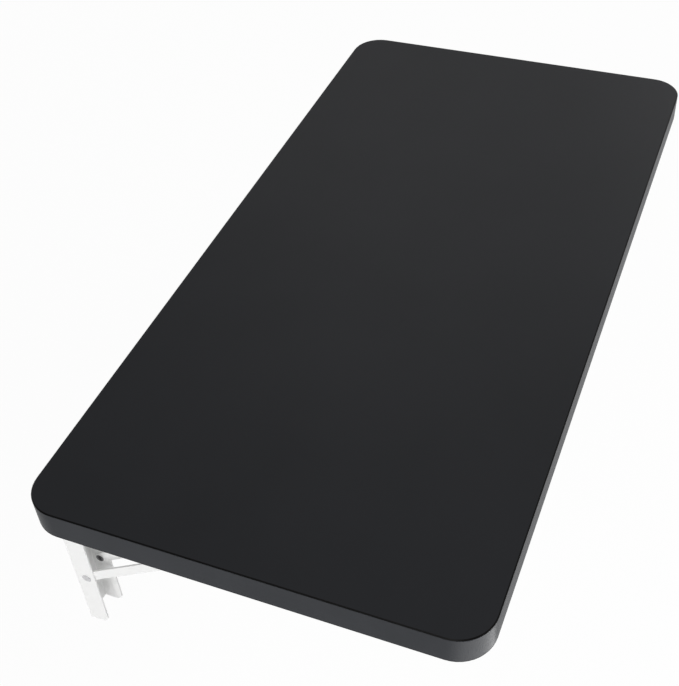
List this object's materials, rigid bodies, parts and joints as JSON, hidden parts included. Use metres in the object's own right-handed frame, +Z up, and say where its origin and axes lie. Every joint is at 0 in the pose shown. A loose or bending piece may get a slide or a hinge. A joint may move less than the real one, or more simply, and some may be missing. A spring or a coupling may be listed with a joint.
{
  "type": "wall-mounted folding table",
  "caption": "Rounded rectangular table top that folds flat to the wall on channel brackets with slotted arms, swinging brace bars and spring release levers.",
  "frame": {"origin": "on the wall plane, at the centre of the pattern of wall screw holes in the two wall channels", "axes": "+X along the wall, +Y into the wall so that the table reaches towards -Y, +Z up; stored open"},
  "size_m": [0.8, 0.402, 0.2155],
  "materials": {
    "core": "raw fibreboard",
    "laminate": "fine satin charcoal",
    "edge": "satin slate grey",
    "white_paint": "gloss white powder coat",
    "zinc": "bright zinc plate",
    "spring_steel": "drawn wire"
  },
  "bodies": {
    "wall_parts": {"left_wall_channel": "white_paint", "left_hinge_pin": "zinc", "left_foot_rivets": "zinc", "right_wall_channel": "white_paint", "right_hinge_pin": "zinc", "right_foot_rivets": "zinc"},
    "table": {"board_core": "core", "top_laminate": "laminate", "bottom_laminate": "laminate", "edge_band": "edge", "left_arm_channel": "white_paint", "left_hinge_spacers": "white_paint", "left_board_screws": "zinc", "left_lever_pin": "zinc", "right_arm_channel": "white_paint", "right_hinge_spacers": "white_paint", "right_board_screws": "zinc", "right_lever_pin": "zinc"},
    "left_brace": {"left_brace_outer": "white_paint", "left_brace_inner": "white_paint", "left_brace_rivets": "zinc"},
    "left_slider": {"left_slide_pin": "zinc"},
    "left_lever": {"left_release_lever": "white_paint", "left_lever_spring": "spring_steel"},
    "right_brace": {"right_brace_outer": "white_paint", "right_brace_inner": "white_paint", "right_brace_rivets": "zinc"},
    "right_slider": {"right_slide_pin": "zinc"},
    "right_lever": {"right_release_lever": "white_paint", "right_lever_spring": "spring_steel"}
  },
  "joints": [
    {"name": "table_fold", "type": "hinge", "parent": "wall_parts", "child": "table", "pos_m": [0, -0.0125, 0.089], "axis": [1, 0, 0], "range_deg": [0, 90]},
    {"name": "left_brace_swing", "type": "hinge", "parent": "wall_parts", "child": "left_brace", "pos_m": [-0.35, -0.0125, -0.019], "axis": [1, 0, 0], "range_deg": [0, 123]},
    {"name": "left_pin_slide", "type": "slide", "parent": "table", "child": "left_slider", "axis": [0, -1, 0], "range_m": [0, 0.143]},
    {"name": "left_lever_press", "type": "hinge", "parent": "table", "child": "left_lever", "pos_m": [-0.35, -0.2085, 0.0875], "axis": [-1, 0, 0], "range_deg": [0, 6], "stiffness_Nm_per_rad": 0.3, "springref_deg": -17.19},
    {"name": "right_brace_swing", "type": "hinge", "parent": "wall_parts", "child": "right_brace", "pos_m": [0.35, -0.0125, -0.019], "axis": [1, 0, 0], "range_deg": [0, 123]},
    {"name": "right_pin_slide", "type": "slide", "parent": "table", "child": "right_slider", "axis": [0, -1, 0], "range_m": [0, 0.143]},
    {"name": "right_lever_press", "type": "hinge", "parent": "table", "child": "right_lever", "pos_m": [0.35, -0.2085, 0.0875], "axis": [-1, 0, 0], "range_deg": [0, 6], "stiffness_Nm_per_rad": 0.3, "springref_deg": -17.19}
  ],
  "couplings": [
    {"joint": "left_brace_swing", "follows": "table_fold", "ratio": 1.3618},
    {"joint": "left_pin_slide", "follows": "table_fold", "m_per_rad": 0.090284},
    {"joint": "right_brace_swing", "follows": "table_fold", "ratio": 1.3618},
    {"joint": "right_pin_slide", "follows": "table_fold", "m_per_rad": 0.090284}
  ]
}
